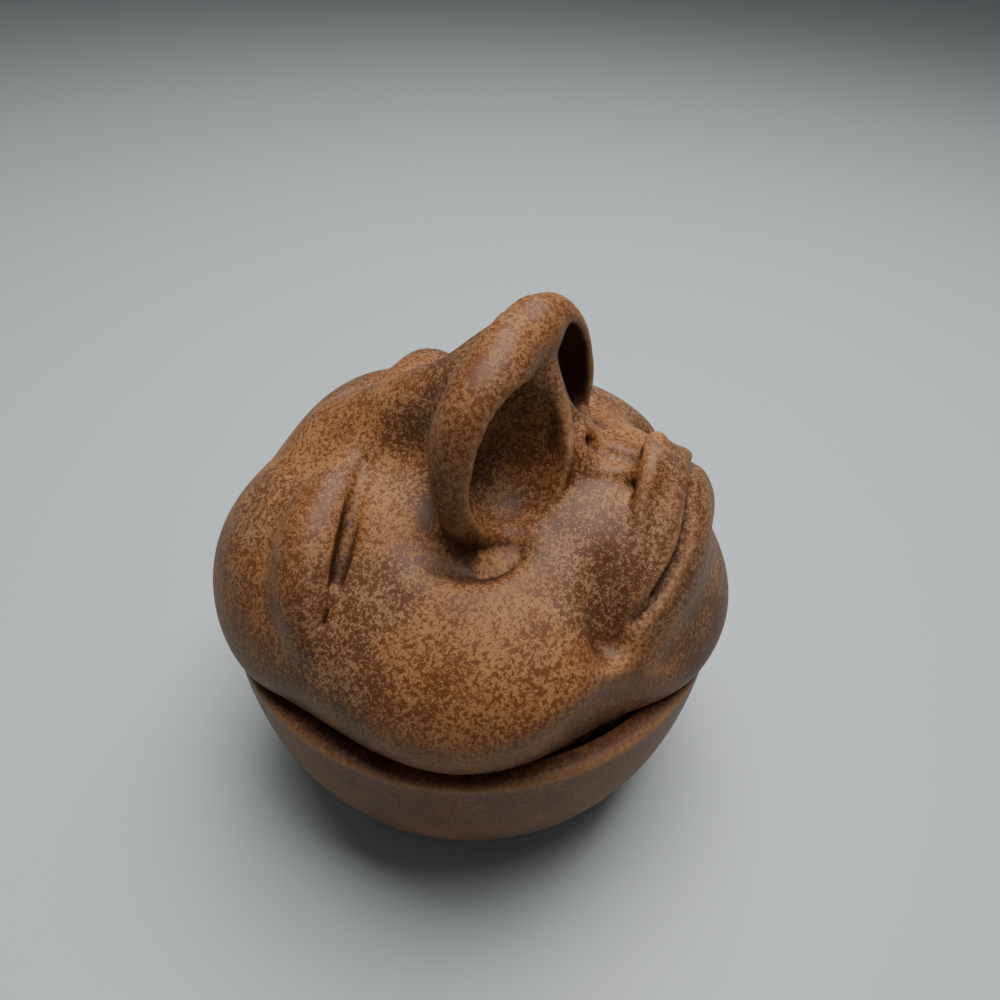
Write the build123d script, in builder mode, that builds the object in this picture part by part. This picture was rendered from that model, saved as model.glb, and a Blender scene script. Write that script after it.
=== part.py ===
"""A round lidded stoneware jar. Its lid is a modelled face that looks straight up.

Frame: millimetres, +Z up, origin at the middle of the bowl's foot. The chin points
to -Y, the forehead to +Y, and the two sides of the face to -X and +X.
Two fired pieces: a turned bowl, and a hollow lid whose flange drops inside the lip.
"""

import os

from build123d import *

# ---------------------------------------------------------------- driving sizes
# bowl
rim_radius = 84.0  # outside of the lip
bowl_height = 74.0  # foot to lip, where the lid seats
foot_radius = 40.0  # where the flat foot ends and the side starts to rise
bowl_fullness = 0.66  # 0.55 gives an elliptical side, 1 a square corner
bowl_wall = 7.5
bowl_floor = 9.0
lip_outer_round = 2.6
lip_inner_round = 1.8
foot_ring_width = 9.0
foot_recess_depth = 1.6

# lid
dome_height = 60.0  # plain dome above its seat, before any feature
side_inset = 1.0  # how far the plain dome stays inside the lip at the sides
chin_reach = 2.0  # how far the chin, and the brow too, overhang the lip
crown_wall = 8.5  # at the top of the plain dome
flange_clearance = 2.0  # all round, between the flange and the bowl's bore
flange_wall = 6.0
flange_depth = 9.0
notch_radii = (9.0, 18.0, 3.4)  # finger notch under the lid's edge: in, along, up
notch_out = 4.0  # from the lip's outside to the notch's middle
notch_angles = (42.0, 112.0)  # round from the chin, on both sides

# Lumps of clay: their radii, then their places. A place is sideways and towards the
# forehead in shares of the lip's radius, and above the seat in shares of the dome's
# height.
cheek_radii = (37.0, 46.0, 36.0)
cheek_at = (0.57, -0.19, 0.13)
temple_radii = (38.0, 38.0, 37.0)
temple_at = (0.31, 0.45, 0.23)
muzzle_radii = (38.0, 30.0, 26.0)
muzzle_at = (0.0, -0.53, 0.57)
chin_radii = (40.0, 29.0, 27.0)
chin_rise = 8.0
brow_radii = (26.0, 34.0, 31.0)
brow_at = (0.0, 0.43, 0.53)
nose_radii = (23.0, 25.0, 35.0)
nose_at = (0.0, -0.12, 1.03)
eyelid_radii = (28.0, 13.0, 12.0)
eyelid_at = (0.52, 0.4, 0.68)
eyelid_fall = 28.0  # degrees that the eyelid drops towards the temple

# Wings of the nose and the nostrils in them: radii along, across and outwards.
wing_radii = (32.0, 20.0, 14.0)
wing_at = (0.25, -0.2, 1.18)
nostril_radii = (19.0, 10.5, 12.0)
nostril_at = (0.31, -0.26, 1.24)
nostril_along = (0.51, -0.07, -0.85)
nostril_faces = (0.79, -0.36, 0.5)

# Rolls of clay and grooves: their radius, then three points of the arc they follow.
bridge_radius = 14.0
bridge_run = ((0, 0.52, 0.73), (0, 0.24, 0.99), (0, -0.12, 1.48))
nose_tip_radius = 10.5
nose_tip_run = ((0, -0.05, 1.42), (0, -0.21, 1.625), (0, -0.36, 1.15))
upper_lip_radius = 7.5
upper_lip_run = ((0, -0.64, 1.03), (0.24, -0.65, 0.8), (0.53, -0.62, 0.45))
lower_lip_radius = 11.5
lower_lip_run = ((0, -0.74, 0.82), (0.24, -0.73, 0.62), (0.52, -0.63, 0.4))
mouth_groove_radius = 1.8
mouth_groove_run = ((0, -0.76, 1.07), (0.24, -0.76, 0.86), (0.54, -0.7, 0.54))
eye_groove_radius = 2.2
eye_groove_run = ((0.26, 0.28, 0.94), (0.52, 0.25, 0.83), (0.75, 0.26, 0.62))

# Hollow inside the nose, so that the clay is not too thick to fire.
nose_core_radii = (10.0, 22.0, 16.0)
nose_core_at = (0.0, 0.0, 0.73)

# ---------------------------------------------------------------- derived sizes
seat = bowl_height
bore_radius = rim_radius - bowl_wall
flange_outer = bore_radius - flange_clearance
flange_inner = flange_outer - flange_wall
cavity_height = dome_height - crown_wall
SIDES = (-1, 1)


def spot(place, side=1):
    """The point of a place on the face, on its +X or its -X side."""
    across, forward, up = place
    return Vector(side * across * rim_radius, forward * rim_radius, seat + up * dome_height)


def lump(centre, radii, along=(1, 0, 0), outward=(0, 0, 1), mode=Mode.ADD):
    """An ellipsoid of clay, or a hollow of that shape: its first radius lies along one
    direction, and its third points outwards."""
    ball = scale(Sphere(1, mode=Mode.PRIVATE), by=radii, mode=Mode.PRIVATE)
    add(Plane(centre, x_dir=along, z_dir=outward) * ball, mode=mode)


def roll(run, radius, side=1, mode=Mode.ADD):
    """A round-ended roll of clay, or a groove of that shape, on an arc."""
    start, middle, end = (spot(place, side) for place in run)
    with BuildLine(mode=Mode.PRIVATE) as route:
        ThreePointArc(start, middle, end)
    with BuildSketch(Plane(start, z_dir=route.line % 0)) as section:
        Circle(radius)
    sweep(section.sketch, path=route.line, mode=mode)
    with Locations(start, end):
        Sphere(radius, mode=mode)


# ---------------------------------------------------------------- bowl
# Turned: a full, round side between a flat foot and a thick lip. The foot is
# recessed inside, so that the bowl stands on a ring.
with BuildPart() as bowl:
    with BuildSketch(Plane.XZ) as profile:
        with BuildLine():
            rise = bowl_fullness * bowl_height
            swell = bowl_fullness * (rim_radius - foot_radius)
            outside = Bezier(
                (foot_radius, 0),
                (foot_radius + swell, 0),
                (rim_radius, bowl_height - rise),
                (rim_radius, bowl_height),
            )
            lip = Line(outside @ 1, (bore_radius, bowl_height))
            inner_rise = bowl_fullness * (bowl_height - bowl_floor)
            inner_swell = bowl_fullness * (bore_radius - foot_radius)
            inside = Bezier(
                lip @ 1,
                (bore_radius, bowl_height - inner_rise),
                (foot_radius + inner_swell, bowl_floor),
                (foot_radius, bowl_floor),
            )
            recess_radius = foot_radius - foot_ring_width
            Polyline(
                inside @ 1,
                (0, bowl_floor),
                (0, foot_recess_depth),
                (recess_radius, foot_recess_depth),
                (recess_radius, 0),
                outside @ 0,
            )
        make_face()
        fillet(profile.vertices().sort_by_distance((rim_radius, 0, bowl_height))[0], lip_outer_round)
        fillet(profile.vertices().sort_by_distance((bore_radius, 0, bowl_height))[0], lip_inner_round)
    revolve(axis=Axis.Z)
bowl.part.label = "bowl"

# ---------------------------------------------------------------- face lid
# Modelled from lumps and rolls of clay on a dome, then hollowed from below.
with BuildPart() as face_lid:
    # The dome overhangs the lip at the brow, and the chin as far at the front.
    dome_radii = (rim_radius - side_inset, rim_radius, dome_height)
    lump((0, chin_reach, seat), dome_radii)
    lump((0, chin_radii[1] - rim_radius - chin_reach, seat + chin_rise), chin_radii)
    lump(spot(muzzle_at), muzzle_radii)
    lump(spot(brow_at), brow_radii)
    for side in SIDES:
        lump(spot(cheek_at, side), cheek_radii)
        lump(spot(temple_at, side), temple_radii)

    # Nose: a ridge from the brow to a drooping tip, and fleshy wings with nostrils.
    lump(spot(nose_at), nose_radii)
    roll(bridge_run, bridge_radius)
    roll(nose_tip_run, nose_tip_radius)
    for side in SIDES:
        along = (side * nostril_along[0], *nostril_along[1:])
        faces = (side * nostril_faces[0], *nostril_faces[1:])
        lump(spot(wing_at, side), wing_radii, along, faces)
        lump(spot(nostril_at, side), nostril_radii, along, faces, Mode.SUBTRACT)

    # Closed eyes, and a mouth of two full lips. Each is a swelling beside a groove.
    for side in SIDES:
        fall = side * eyelid_fall
        along = Vector(side, 0, 0).rotate(Axis.Y, fall)
        faces = Vector(0, 0, 1).rotate(Axis.Y, fall)
        lump(spot(eyelid_at, side), eyelid_radii, along, faces)
        roll(upper_lip_run, upper_lip_radius, side)
        roll(lower_lip_run, lower_lip_radius, side)
    for side in SIDES:
        roll(eye_groove_run, eye_groove_radius, side, Mode.SUBTRACT)
        roll(mouth_groove_run, mouth_groove_radius, side, Mode.SUBTRACT)

    # Flat seat, with finger notches under the edge.
    split(bisect_by=Plane.XY.offset(seat), keep=Keep.TOP)
    for angle in notch_angles:
        for side in SIDES:
            outward = Vector(0, -1, 0).rotate(Axis.Z, side * angle)
            middle = outward * (rim_radius + notch_out) + Vector(0, 0, seat)
            lump(middle, notch_radii, outward, mode=Mode.SUBTRACT)

    # Flange, and the hollow above it.
    with BuildSketch(Plane.XY.offset(seat)):
        Circle(flange_outer)
    extrude(amount=-flange_depth)
    with BuildSketch(Plane.XZ):
        with BuildLine():
            crown = EllipticalCenterArc((0, seat), flange_inner, cavity_height)
            Polyline(
                crown @ 1,
                (0, seat - flange_depth),
                (flange_inner, seat - flange_depth),
                crown @ 0,
            )
        make_face()
    revolve(axis=Axis.Z, mode=Mode.SUBTRACT)
    lump(spot(nose_core_at), nose_core_radii, mode=Mode.SUBTRACT)
face_lid.part.label = "face_lid"

os.makedirs("parts", exist_ok=True)
export_step(bowl.part, "parts/bowl.step")
export_step(face_lid.part, "parts/face_lid.step")
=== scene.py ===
import math

import bmesh
import bpy
import numpy as np
from mathutils import Matrix, Vector


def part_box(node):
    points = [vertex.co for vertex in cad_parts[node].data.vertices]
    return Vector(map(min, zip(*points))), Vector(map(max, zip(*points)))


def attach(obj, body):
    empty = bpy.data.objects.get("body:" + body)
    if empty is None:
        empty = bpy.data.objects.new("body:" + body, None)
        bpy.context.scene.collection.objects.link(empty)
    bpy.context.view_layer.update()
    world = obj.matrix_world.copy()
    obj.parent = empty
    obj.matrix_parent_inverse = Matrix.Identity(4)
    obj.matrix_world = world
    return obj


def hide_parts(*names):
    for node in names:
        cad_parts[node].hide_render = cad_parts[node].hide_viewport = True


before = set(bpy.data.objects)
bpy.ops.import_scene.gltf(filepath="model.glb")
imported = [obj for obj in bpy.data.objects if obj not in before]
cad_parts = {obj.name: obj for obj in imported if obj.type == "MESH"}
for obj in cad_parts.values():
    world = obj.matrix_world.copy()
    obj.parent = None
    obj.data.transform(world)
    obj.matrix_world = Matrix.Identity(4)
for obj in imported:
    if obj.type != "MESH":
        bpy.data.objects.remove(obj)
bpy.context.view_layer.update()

# ------------------------------------------------------------------ bowl
# The lower half of the jar: stoneware, thrown on a wheel and turned. Its side is full
# and round, its lip thick and rounded, and it stands on a ring round a shallow recess.
mm = 0.001
bowl_low, bowl_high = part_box("bowl")
rim_radius = bowl_high[0] / mm
seat = bowl_high[2] / mm
foot_radius = 40.0
bowl_fullness = 0.66
bowl_wall = 7.5
bowl_floor = 9.0
lip_outer_round = 2.6
lip_inner_round = 2.2
foot_recess_radius = 31.0
foot_recess_depth = 1.6


def bezier(points, steps):
    """Points along a cubic Bezier curve, both ends included."""
    ends = [Vector(point) for point in points]
    curve = []
    for step in range(steps + 1):
        t = step / steps
        weights = ((1 - t) ** 3, 3 * t * (1 - t) ** 2, 3 * t * t * (1 - t), t**3)
        curve.append(sum((end * weight for end, weight in zip(ends, weights)), Vector((0, 0))))
    return curve


def turned(profile, steps):
    """A closed turned shape, in a new bmesh: a profile of (radius, height), from one
    point on the axis to another or round a ring, spun about Z."""
    bm = bmesh.new()
    ring = [bm.verts.new((radius, 0, height)) for radius, height in profile]
    edges = [bm.edges.new(pair) for pair in zip(ring[:-1], ring[1:])]
    if profile[0][0] > 0:
        edges.append(bm.edges.new((ring[-1], ring[0])))
    bmesh.ops.spin(
        bm, geom=ring + edges, cent=(0, 0, 0), axis=(0, 0, 1), angle=math.tau, steps=steps,
        use_merge=True,
    )
    bmesh.ops.remove_doubles(bm, verts=bm.verts, dist=0.01)
    bmesh.ops.recalc_face_normals(bm, faces=bm.faces)
    return bm


def finished(name, bm):
    """The object that a bmesh in millimetres makes, in metres and smooth-shaded."""
    bmesh.ops.scale(bm, vec=(mm, mm, mm), verts=bm.verts)
    mesh = bpy.data.meshes.new(name)
    bm.to_mesh(mesh)
    bm.free()
    mesh.shade_smooth()
    piece = bpy.data.objects.new(name, mesh)
    bpy.context.collection.objects.link(piece)
    return piece


class Shade:
    """A value, colour or vector that varies over a surface: one output of a node."""

    def __init__(self, tree, socket):
        self.tree = tree
        self.socket = socket

    def node(self, kind, settings, sockets, output=0):
        """A new node, whose settings are set before its sockets get values or links."""
        node = self.tree.nodes.new(kind)
        for name, value in settings.items():
            setattr(node, name, value)
        for name, value in sockets.items():
            if isinstance(value, Shade):
                self.tree.links.new(value.socket, node.inputs[name])
            else:
                node.inputs[name].default_value = value
        return Shade(self.tree, node.outputs[output])

    def math(self, operation, first, second):
        return self.node("ShaderNodeMath", {"operation": operation}, {0: first, 1: second})

    def __add__(self, other):
        return self.math("ADD", self, other)

    def __radd__(self, other):
        return self.math("ADD", other, self)

    def __sub__(self, other):
        return self.math("SUBTRACT", self, other)

    def __rsub__(self, other):
        return self.math("SUBTRACT", other, self)

    def __mul__(self, other):
        return self.math("MULTIPLY", self, other)

    def __rmul__(self, other):
        return self.math("MULTIPLY", other, self)

    def rise(self, low, high):
        """0 below low, 1 above high and smooth between, or the other way round."""
        settings = {"interpolation_type": "SMOOTHSTEP"}
        return self.node("ShaderNodeMapRange", settings, {0: self, 1: low, 2: high})

    def noise(self, size, detail=2.0, roughness=0.5):
        """Cloudy noise at this place, whose blobs are about this many millimetres."""
        sockets = {
            "Vector": self, "Scale": 1 / (size * mm), "Detail": detail, "Roughness": roughness,
        }
        return self.node("ShaderNodeTexNoise", {}, sockets)

    def over(self, colour, other):
        """The first colour where this is 0, and the other where it is 1."""
        settings = {"data_type": "RGBA"}
        return self.node("ShaderNodeMix", settings, {0: self, 6: colour, 7: other}, 2)


def stoneware(name):
    """Brown glazed stoneware. A fine net of tan crystals lies on the brown, thicker in
    some patches than in others. The glaze is thin and rusty on ridges, which are also painted
    lighter as a painted highlight. It pools dark in creases, sheltered hollows get painted
    shade, and it is a little darker low down on the jar. It leaves
    the clay bare where the two pieces touch and on the foot."""
    material = bpy.data.materials.new(name)
    material.use_nodes = True
    tree = material.node_tree
    shader = tree.nodes["Principled BSDF"]
    start = Shade(tree, None)
    place = start.node("ShaderNodeTexCoord", {}, {}, "Object")
    relief = start.node("ShaderNodeAttribute", {"attribute_name": "relief"}, {}, "Fac")
    shade_shelter = start.node("ShaderNodeAttribute", {"attribute_name": "shade_shelter"}, {}, "Fac")
    bare = start.node("ShaderNodeAttribute", {"attribute_name": "bare"}, {}, "Fac")
    height = start.node("ShaderNodeSeparateXYZ", {}, {0: place}, 2)

    low = height.rise((seat + 42) * mm, (seat - 12) * mm)
    broad = place.noise(38, 2)
    patches = place.noise(11, 3, 0.6)
    mottle = place.noise(1.5, 3, 0.6)
    grains = place.noise(0.7, 2, 0.6)
    specks = place.noise(1.1, 2, 0.6)
    thickness = (patches - 0.5) * 0.2 + (broad - 0.5) * 0.14 - low * 0.02
    net = (mottle * 0.62 + grains * 0.38 + thickness).rise(0.455, 0.575)
    dark = (specks * 0.6 + mottle * 0.4 - thickness * 0.7).rise(0.54, 0.63)
    bright = (specks + thickness * 0.3).rise(0.62, 0.7)
    # ridges: the glaze breaks thin and lighter there, and the mask also stands in for a painted
    # highlight on protruding parts
    ridge = (relief + (mottle - 0.5) * 0.5).rise(0.25, 1.1)
    rust = (relief + (mottle - 0.5) * 0.6).rise(0.1, 0.5) - ridge
    crease = (relief + (mottle - 0.5) * 0.5).rise(-0.2, -1.2)

    warm = broad.rise(0.44, 0.6)
    brown = warm.over((0.125, 0.047, 0.017, 1), (0.165, 0.053, 0.014, 1))
    tan = warm.over((0.37, 0.2, 0.1, 1), (0.4, 0.185, 0.07, 1))
    glaze = (net * 0.9).over(brown, tan)
    glaze = (dark * 0.75).over(glaze, (0.045, 0.015, 0.006, 1))
    glaze = (bright * 0.5).over(glaze, (0.56, 0.36, 0.19, 1))
    glaze = (rust * 0.3).over(glaze, (0.13, 0.034, 0.01, 1))
    glaze = (low * 0.3).over(glaze, (0.07, 0.024, 0.008, 1))
    # lighter tan on ridges, partly real glaze breaking and partly a painted highlight
    glaze = (ridge * 0.6).over(glaze, (0.5, 0.26, 0.12, 1))
    # painted shade: sheltered hollows, slits and the undercuts under the wings are darkened to
    # near black
    glaze = (shade_shelter.rise(0.35, 0.85) * 0.85).over(glaze, (0.045, 0.015, 0.006, 1))
    glaze = (crease * 0.85).over(glaze, (0.035, 0.012, 0.006, 1))
    clay = grains.over((0.36, 0.22, 0.14, 1), (0.46, 0.3, 0.2, 1))
    colour = bare.over(glaze, clay)
    tree.links.new(colour.socket, shader.inputs["Base Color"])
    shader.inputs["Specular IOR Level"].default_value = 0.35
    rough = 0.5 + net * 0.14 + bare * 0.25 - crease * 0.06
    tree.links.new(rough.socket, shader.inputs["Roughness"])
    texture = net * 0.6 + grains * 0.4 - dark * 0.3
    sockets = {"Strength": 0.35, "Distance": 0.15 * mm, "Height": texture}
    bump = start.node("ShaderNodeBump", {}, sockets)
    tree.links.new(bump.socket, shader.inputs["Normal"])
    return material


def measured(piece, rounds, is_bare, openness):
    """Gives each vertex how far it stands out from its surroundings, smoothed in this
    many rounds, in millimetres, how sheltered it lies, and whether its clay is bare."""
    mesh = piece.data
    places = np.empty(len(mesh.vertices) * 3)
    mesh.vertices.foreach_get("co", places)
    places = places.reshape(-1, 3) / mm
    normals = np.empty(len(mesh.vertices) * 3)
    mesh.vertices.foreach_get("normal", normals)
    normals = normals.reshape(-1, 3)
    ends = np.empty(len(mesh.edges) * 2, np.int32)
    mesh.edges.foreach_get("vertices", ends)
    ends = ends.reshape(-1, 2)
    count = np.bincount(ends.ravel(), minlength=len(places))[:, None]
    even = places
    for _ in range(rounds):
        total = np.stack(
            [
                np.bincount(ends[:, 0], even[ends[:, 1], axis], len(places))
                + np.bincount(ends[:, 1], even[ends[:, 0], axis], len(places))
                for axis in range(3)
            ],
            1,
        )
        even = (even + total / count) / 2
    relief = ((places - even) * normals).sum(1)
    mesh.attributes.new("relief", "FLOAT", "POINT").data.foreach_set("value", relief)
    # how sheltered each vertex lies, which the glaze uses to paint shade into hollows
    shade_shelter = 1 - openness(places, normals)
    mesh.attributes.new("shade_shelter", "FLOAT", "POINT").data.foreach_set("value", shade_shelter)
    bare = is_bare(places).astype(float)
    mesh.attributes.new("bare", "FLOAT", "POINT").data.foreach_set("value", bare)


rise = bowl_fullness * seat
swell = bowl_fullness * (rim_radius - foot_radius)
bore = rim_radius - bowl_wall
inner_rise = bowl_fullness * (seat - bowl_floor)
inner_swell = bowl_fullness * (bore - foot_radius)
outside = bezier(
    [
        (foot_radius, 0), (foot_radius + swell, 0), (rim_radius, seat - rise),
        (rim_radius, seat - lip_outer_round),
    ],
    56,
)
lip = bezier(
    [
        (rim_radius, seat - lip_outer_round), (rim_radius, seat - 0.8),
        (rim_radius - 1.2, seat), (rim_radius - 3, seat),
    ],
    6,
)
lip += bezier(
    [
        (bore + lip_inner_round, seat), (bore + 0.8, seat), (bore, seat - 0.8),
        (bore, seat - lip_inner_round),
    ],
    5,
)
inside = bezier(
    [
        (bore, seat - lip_inner_round), (bore, seat - inner_rise),
        (foot_radius + inner_swell, bowl_floor), (foot_radius, bowl_floor),
    ],
    40,
)
recess = [
    (0, foot_recess_depth),
    (foot_recess_radius - 2, foot_recess_depth),
    (foot_recess_radius - 0.6, foot_recess_depth * 0.7),
    (foot_recess_radius, 0.3),
    (foot_recess_radius + 0.5, 0),
]
profile = recess + [tuple(p) for p in outside + lip[1:] + inside[1:]]
profile += [(foot_radius / 2, bowl_floor), (0, bowl_floor)]
bm = turned(profile, 200)
bowl = finished("turned_bowl", bm)


def is_foot(places):
    """Which places are on the flat of the foot."""
    return places[:, 2] < 0.4


def bowl_openness(places, normals):
    """How free the space in front of the bowl is: open everywhere."""
    return np.ones(len(places))


measured(bowl, 20, is_foot, bowl_openness)
bowl.data.materials.append(stoneware("bowl_glaze"))
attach(bowl, "bowl")
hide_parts("bowl")

# ------------------------------------------------------------------ face lid
# The upper half: a hollow lid of the same stoneware. Lumps and rolls of soft clay were
# pressed on a dome to make the face, the joins were smoothed with wet fingers, and the
# nostrils, eye slits and mouth were hollowed out.
clay_voxel = 1.6
hollow_voxel = 0.9
skin_voxel = 1.3
reach = 30.0
shelter_reach = 14
flange_clearance = 2.0
flange_wall = 6.0
flange_depth = 9.0
dome_height = 60.0
crown_wall = 8.5


class Lump:
    """An ellipsoid of clay, or a hollow of that shape. Its first radius lies along one
    direction, and its third points outwards. Sides say which mirror images it has."""

    def __init__(self, centre, radii, along=(1, 0, 0), outward=(0, 0, 1), sides=(-1, 1)):
        self.sides = sides
        self.centre = np.array(centre, float)
        self.radii = np.array(radii, float)
        first = Vector(along).normalized()
        third = Vector(outward)
        third = (third - first * third.dot(first)).normalized()
        self.axes = np.array([first, third.cross(first), third])

    def distance(self, points):
        """About how far points are outside it, and no more than the reach."""
        away = np.full(len(points), reach)
        offset = points - self.centre
        within = np.flatnonzero((offset**2).sum(1) < (self.radii.max() + reach) ** 2)
        local = offset[within] @ self.axes.T / self.radii
        size = np.sqrt((local**2).sum(1))
        slope = np.sqrt(((local / self.radii) ** 2).sum(1)).clip(1e-9)
        away[within] = np.minimum(size * (size - 1) / slope, reach)
        return away

    def press(self, bm):
        """Adds it to a bmesh."""
        for side in self.sides:
            place = Matrix(self.axes.T).to_4x4()
            place.translation = Vector(self.centre)
            place = Matrix.Diagonal((side, 1, 1, 1)) @ place @ Matrix.Diagonal((*self.radii, 1))
            bmesh.ops.create_uvsphere(bm, u_segments=64, v_segments=32, radius=1, matrix=place)


class Roll:
    """A roll of clay, or a groove of that shape, through points that each have a radius."""

    steps = 4

    def __init__(self, *knots, sides=(-1, 1)):
        self.sides = sides
        knots = np.array(knots, float)
        first, last = 2 * knots[0] - knots[1], 2 * knots[-1] - knots[-2]
        knots = np.vstack([first, knots, last])
        beads = []
        for a, b, c, d in zip(knots[:-3], knots[1:-2], knots[2:-1], knots[3:]):
            for step in range(self.steps):
                t = step / self.steps
                beads.append(
                    b + (c - a) * t / 2 + (2 * a - 5 * b + 4 * c - d) * t**2 / 2
                    + (3 * b - a - 3 * c + d) * t**3 / 2
                )
        self.beads = np.array([*beads, knots[-2]])

    def distance(self, points):
        """About how far points are outside it, and no more than the reach."""
        away = np.full(len(points), reach)
        margin = self.beads[:, 3].max() + reach
        low = self.beads[:, :3].min(0) - margin
        high = self.beads[:, :3].max(0) + margin
        within = np.flatnonzero(((points > low) & (points < high)).all(1))
        close = points[within]
        nearest = np.full(len(within), reach)
        for start, end in zip(self.beads[:-1], self.beads[1:]):
            run = (end - start)[:3]
            offset = close - start[:3]
            along = (offset @ run / (run @ run)).clip(0, 1)
            gap = np.sqrt(((offset - along[:, None] * run) ** 2).sum(1))
            np.minimum(nearest, gap - start[3] - along * (end[3] - start[3]), out=nearest)
        away[within] = nearest
        return away

    def press(self, bm):
        """Adds it to a bmesh as a row of balls."""
        for side in self.sides:
            for start, end in zip(self.beads[:-1], self.beads[1:]):
                length = np.linalg.norm((end - start)[:3])
                count = max(1, math.ceil(length / (0.4 * start[3])))
                for ball in range(count + 1):
                    x, y, z, radius = start + (end - start) * ball / count
                    place = Matrix.Translation((side * x, y, z)) @ Matrix.Scale(radius, 4)
                    ball_mesh.transform(place)
                    bm.from_mesh(ball_mesh)
                    ball_mesh.transform(place.inverted())


bm = bmesh.new()
bmesh.ops.create_icosphere(bm, subdivisions=2, radius=1)
ball_mesh = bpy.data.meshes.new("ball")
bm.to_mesh(ball_mesh)
bm.free()


def weld(one, other, width):
    """The distance to two shapes whose join is smoothed over a width."""
    overlap = (width - np.abs(one - other)).clip(0) / width
    return np.minimum(one, other) - overlap**2 * width / 4


# Each lump, roll or hollow, and the width of its smoothed join, in millimetres from the
# middle of the seat. A negative width carves it away. They are the same on both sides,
# but for the wings and nostrils, the ridges under the nose and the groove between them:
# the far nostril turns further to the front.
near, far = (-1,), (1,)
clay = [
    (Lump((0, 2, 0), (83, 84, 60)), 1),
    # cheek, temple and muzzle
    (Lump((48, -16, 8), (37, 46, 36)), 16),
    (Lump((26, 38, 14), (38, 38, 37)), 12),
    (Lump((0, -44, 31), (38, 30, 26)), 16),
    # eyelid
    (
        Roll(
            (22, 32, 52, 6), (33, 33, 50, 9), (46, 33, 44.5, 10.5), (57, 30.5, 37, 9.5),
            (65, 27, 30, 6),
        ),
        5,
    ),
    # skin above the lip, and the crease that the wings of the nose stand in
    (Lump((0, -40, 36), (34, 22, 23)), 6),
    (Roll((45, 2, 55, 1), (46, -7, 52, 2), (42, -16, 49, 2.4), (37, -21, 49, 1.2)), -10),
    # ridge of the nose, the flesh of its sides, and the wall between the nostrils
    (
        Roll(
            (0, 44, 44, 14), (0, 24, 58, 14), (0, 4, 71, 13.5), (0, -8, 83, 12.5),
            (0, -15, 95.5, 8.5),
        ),
        14,
    ),
    (Lump((13, -9, 67), (19, 15, 22)), 9),
    (Lump((0, -10, 72), (6, 17, 22)), 4),
    (Lump((2, -29, 57), (12, 9, 12)), 5),
    # wings
    (
        Roll(
            (5, -13, 96.5, 8), (12, -12, 95.5, 8.5), (19, -11, 93, 9), (26, -9, 90, 8.8),
            (32, -7, 84, 8.5), (35, -6.8, 75.5, 8.3), (35.5, -7.5, 65, 7.8),
            (34, -9.5, 53.5, 7), (30, -14.5, 46, 6.3), (25.5, -20.5, 48, 5.3),
            (20.5, -25, 55, 4.2), (16, -28, 61.5, 3.6), (12, -29.5, 68, 3), (8, -28, 74, 2.8),
            (5, -24.5, 81, 3), (3, -17, 90, 3.5), sides=near,
        ),
        3,
    ),
    (
        Roll(
            (3, -16, 98, 7.5), (10, -19, 97, 6), (16, -23, 90, 5.2), (20, -25.5, 79, 4.8),
            (21, -26.5, 70.5, 4.6), (19, -26.5, 63.3, 4.4), (14, -29, 60, 4), (8, -28, 64, 3),
            (4, -24, 74, 3), (2, -17, 88, 3.5), sides=far,
        ),
        3,
    ),
    # two ridges under the nose
    (
        Roll(
            (6, -30, 65, 3), (6, -36, 60, 3), (6, -43.5, 59, 3), (6, -50.5, 61, 2.6),
            sides=near,
        ),
        3,
    ),
    (Roll((3, -30, 63, 3), (3.5, -37.5, 60, 3), (4, -48.8, 59, 2.6), sides=far), 3),
    # upper lip: the ridge along its border, then the lip itself
    (
        Roll(
            (0, -53, 65, 3.4), (7, -53.5, 63.5, 3.2), (14, -53.5, 58.5, 3),
            (24, -54.5, 50.5, 2.8), (34, -54.5, 41.5, 2.8), (40, -52.5, 35.5, 2.8),
        ),
        3,
    ),
    (
        Roll(
            (0, -58.5, 61.5, 5.5), (8, -60, 56, 5.5), (20, -60, 47, 5.5), (31, -58, 39, 4.6),
            (38, -54.5, 34, 3.6),
        ),
        4,
    ),
    # lower lip and chin
    (
        Roll(
            (0, -61, 47, 12), (8, -62, 43, 12), (20, -61, 35, 11), (32, -57, 28, 9),
            (42, -53, 23, 5),
        ),
        7,
    ),
    (Lump((0, -58, 6), (40, 29, 26)), 7),
]
hollows = [
    # nostrils
    (Lump((25.5, -19, 73), (21, 16.8, 17), (0.37, -0.15, -0.92), (0.55, -0.7, 0.45), near), 2),
    (Lump((12, -24, 80), (16, 6.5, 9), (0.2, -0.1, -0.95), (0.1, -0.95, 0.2), far), 2),
    # eye
    (
        Roll(
            (21, 27.5, 58, 0.6), (29, 25.5, 57, 1.8), (38, 24.2, 53, 2.3), (48, 23, 47.5, 2.3),
            (57, 22.5, 41, 1.8), (64, 22.5, 35, 0.6),
        ),
        2.5,
    ),
    # groove under the nose, and the one beside the mouth
    (Roll((1.5, -33, 64.5, 2), (1.5, -41, 63, 2.6), (1.5, -49, 63, 2), sides=near), 2),
    (Roll((36, -49, 50, 2), (42, -50.5, 42, 4), (46.5, -52, 34, 3.5)), 8),
    # mouth
    (
        Roll(
            (0, -65.5, 62, 1.6), (8, -66, 57.5, 1.6), (20, -65.5, 48.5, 1.6),
            (31, -61.8, 41.5, 1.6), (38, -57, 36.5, 1),
        ),
        2,
    ),
]
# The radius of the lid's lower edge, by degrees round from the chin. The further it is
# outside the upright radius, the more the face flares out above it.
edge_outline = [
    (0, 85), (20, 84), (32, 77), (42, 74.5), (52, 76), (64, 79), (78, 80.5), (92, 78.5),
    (105, 77), (117, 78), (130, 85), (180, 85),
]
edge_upright = 73.5
edge_flare = 0.055
edge_round = 3.5
underside_round = 3


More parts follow.
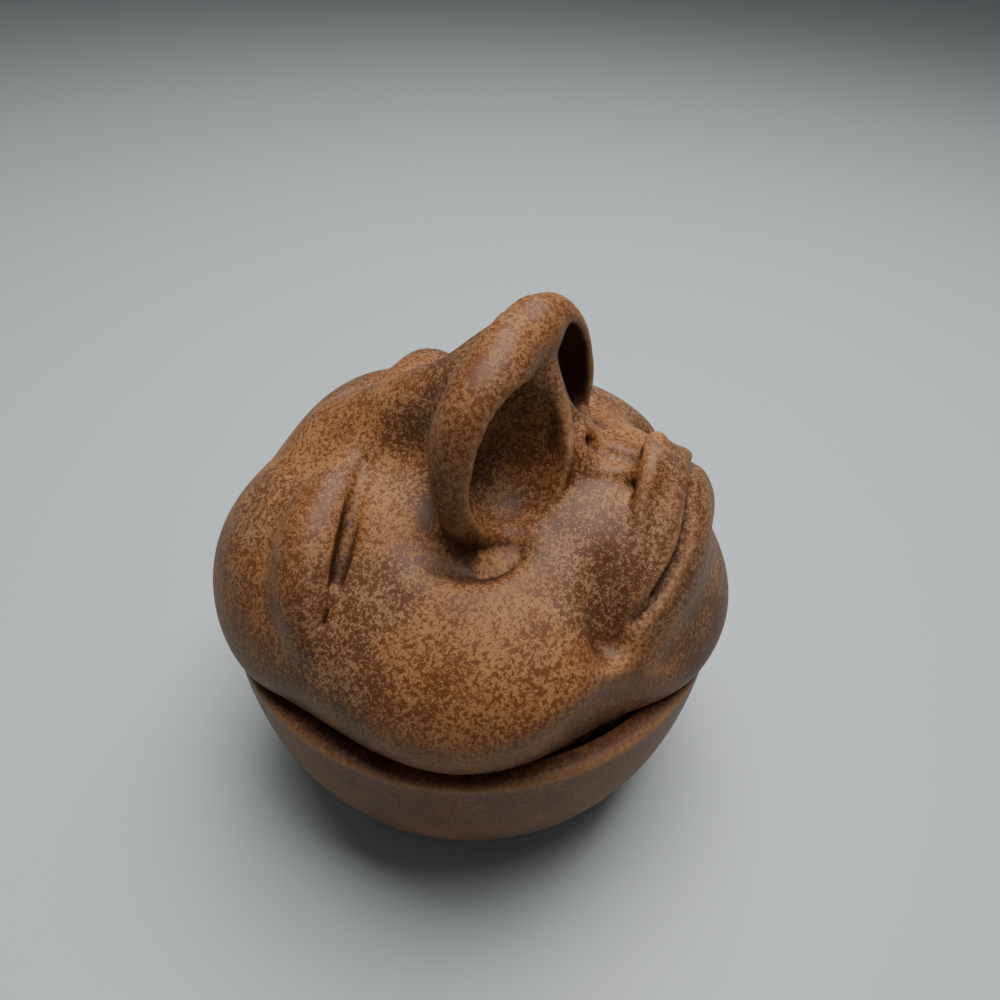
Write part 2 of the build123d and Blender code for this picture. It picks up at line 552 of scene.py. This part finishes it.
def lid_distance(points):
    """How far points are outside the smoothed face."""
    folded = points.copy()
    folded[:, 0] = np.abs(points[:, 0])
    places = {(-1, 1): folded, near: points * (-1, 1, 1), far: points}
    away = np.full(len(points), reach)
    for shape, width in clay:
        if width > 0:
            away = weld(away, shape.distance(places[shape.sides]), width)
        else:
            away = -weld(-away, shape.distance(places[shape.sides]), -width)
    for shape, width in hollows:
        away = -weld(-away, shape.distance(places[shape.sides]), width)
    x, y, z = points.T
    angle = np.degrees(np.arctan2(np.abs(x), -y))
    angles, radii = np.array(edge_outline).T
    edge = np.mean(
        [np.interp(np.abs(angle + shift), angles, radii) for shift in (-6, -3, 0, 3, 6)], 0
    )
    flare = (edge - edge_upright) * edge_flare
    under = (np.hypot(x, y) - edge - flare * z) / np.hypot(1, flare)
    away = -weld(-away, -under, edge_round)
    return -weld(-away, z, underside_round)


def remeshed(piece, size):
    """Gives a piece an even skin of small quads, which also joins what overlaps."""
    modifier = piece.modifiers.new("even skin", "REMESH")
    modifier.mode = "VOXEL"
    modifier.voxel_size = size * mm
    apply_modifiers(piece)


def boolean(piece, cutter, operation):
    """Joins a closed cutter to a closed piece, or cuts it away, and deletes the cutter."""
    modifier = piece.modifiers.new(operation, "BOOLEAN")
    modifier.operation = operation
    modifier.solver = "MANIFOLD"
    modifier.object = cutter
    apply_modifiers(piece)
    bpy.data.objects.remove(cutter)


def apply_modifiers(piece):
    """Makes the modifiers of a piece part of its mesh."""
    shown = piece.evaluated_get(bpy.context.evaluated_depsgraph_get())
    mesh = bpy.data.meshes.new_from_object(shown)
    piece.modifiers.clear()
    piece.data = mesh


bm = bmesh.new()
for shape, width in clay:
    if width > 0:
        shape.press(bm)
lid = finished("face_lid_clay", bm)
remeshed(lid, clay_voxel)
bm = bmesh.new()
for shape, _ in hollows:
    shape.press(bm)
cutter = finished("hollows", bm)
remeshed(cutter, hollow_voxel)
boolean(lid, cutter, "DIFFERENCE")
bm = bmesh.new()
bmesh.ops.create_cube(bm, size=200, matrix=Matrix.Translation((0, 0, -100)))
boolean(lid, finished("below", bm), "DIFFERENCE")
remeshed(lid, skin_voxel)


def smoothed(piece, rounds):
    """Moves the vertices of a piece onto the smoothed face, keeping them evenly spread."""
    bm = bmesh.new()
    bm.from_mesh(piece.data)
    bmesh.ops.scale(bm, vec=(1 / mm, 1 / mm, 1 / mm), verts=bm.verts)
    nudge = 0.2
    least_slope = 0.3
    longest_move = 2
    for _ in range(rounds):
        bmesh.ops.smooth_vert(
            bm, verts=bm.verts, factor=0.5, use_axis_x=True, use_axis_y=True, use_axis_z=True
        )
        places = np.array([vert.co for vert in bm.verts])
        for _ in range(2):
            away = lid_distance(places)
            slope = np.stack(
                [lid_distance(places + step) - away for step in np.eye(3) * nudge], 1
            ) / nudge
            size = (slope**2).sum(1).clip(least_slope)
            places -= (away / size).clip(-longest_move, longest_move)[:, None] * slope
        for vert, place in zip(bm.verts, places):
            vert.co = place
    for _ in range(2):
        bmesh.ops.smooth_vert(
            bm, verts=bm.verts, factor=0.5, use_axis_x=True, use_axis_y=True, use_axis_z=True
        )
    bmesh.ops.scale(bm, vec=(mm, mm, mm), verts=bm.verts)
    bm.to_mesh(piece.data)
    bm.free()


smoothed(lid, 3)
lid.data.transform(Matrix.Translation((0, 0, seat * mm)))

# The flange that keeps the lid in its seat, and the hollow inside, turned in one go.
flange_outer = bore - flange_clearance
flange_inner = flange_outer - flange_wall
flange_foot = seat - flange_depth
flange_top = seat + 4
ring = [
    (flange_inner - 1, flange_top), (flange_inner - 1, flange_foot + 1),
    (flange_inner, flange_foot), (flange_outer - 1, flange_foot),
    (flange_outer - 0.3, flange_foot + 0.3), (flange_outer, flange_foot + 1),
    (flange_outer, flange_top),
]
boolean(lid, finished("flange", turned(ring, 160)), "UNION")
hollow_height = dome_height - crown_wall
hollow_steps = 24
hollow = [(0, flange_foot - 1), (flange_inner, flange_foot - 1)]
for step in range(hollow_steps):
    turn = math.pi / 2 * step / hollow_steps
    hollow.append((flange_inner * math.cos(turn), seat + hollow_height * math.sin(turn)))
hollow.append((0, seat + dome_height - crown_wall))
boolean(lid, finished("hollow", turned(hollow, 160)), "DIFFERENCE")
lid.data.shade_smooth()
lid.data.set_sharp_from_angle(angle=math.radians(50))
lid.data.materials.clear()


def is_under_lid(places):
    """Which places are on the flange or on the flat face that meets the bowl's lip."""
    return places[:, 2] < seat + 0.5


def lid_openness(places, normals):
    """How free the space in front of the face is: 1 in the open and 0 in a slit. The
    wall of the lid's own hollow, far inside the face, counts as open."""
    from_seat = places - (0, 0, seat)
    ahead = from_seat + normals * shelter_reach
    inside = np.hypot(places[:, 0], places[:, 1]) < 66
    inside &= lid_distance(from_seat) < -4
    return np.where(inside, 1, (lid_distance(ahead) / shelter_reach).clip(0, 1))


measured(lid, 14, is_under_lid, lid_openness)
lid.data.materials.append(stoneware("lid_glaze"))
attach(lid, "lid")
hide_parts("face_lid")

# ------------------------------------------------------------------ table, light and camera
# A pale plain table top, one large soft lamp overhead and a camera above the jar's side.
bm = bmesh.new()
bmesh.ops.create_grid(bm, x_segments=1, y_segments=1, size=3000)
floor = finished("floor", bm)
top = bpy.data.materials.new("pale_table")
top.use_nodes = True
shader = top.node_tree.nodes["Principled BSDF"]
shader.inputs["Base Color"].default_value = (0.55, 0.6, 0.61, 1)
shader.inputs["Roughness"].default_value = 0.5
floor.data.materials.append(top)

world = bpy.data.worlds.new("room")
bpy.context.scene.world = world
world.use_nodes = True
background = world.node_tree.nodes["Background"]
background.inputs["Color"].default_value = (0.8, 0.85, 0.86, 1)
background.inputs["Strength"].default_value = 0.12

light = bpy.data.lights.new("ceiling_light", "AREA")
light.size = 0.8
light.energy = 15
light.color = (1.0, 0.99, 0.97)
lamp = bpy.data.objects.new("ceiling_light", light)
lamp.location = (0.24, -0.04, 1.05)
aim = Vector((0, 0, 0.08)) - Vector((0.24, -0.04, 1.05))
lamp.rotation_euler = aim.to_track_quat("-Z", "Y").to_euler()
bpy.context.collection.objects.link(lamp)

camera = bpy.data.objects.new("camera", bpy.data.cameras.new("camera"))
bpy.context.collection.objects.link(camera)
camera.data.lens = 27
camera.data.sensor_width = 36
look = Vector((0.718, 0.192, -0.669))
roll = math.radians(2)
camera.location = (-0.1753, -0.0552, 0.2713)
turn = look.to_track_quat("-Z", "Y").to_matrix() @ Matrix.Rotation(roll, 3, "Z")
camera.rotation_euler = turn.to_euler()
bpy.context.scene.camera = camera
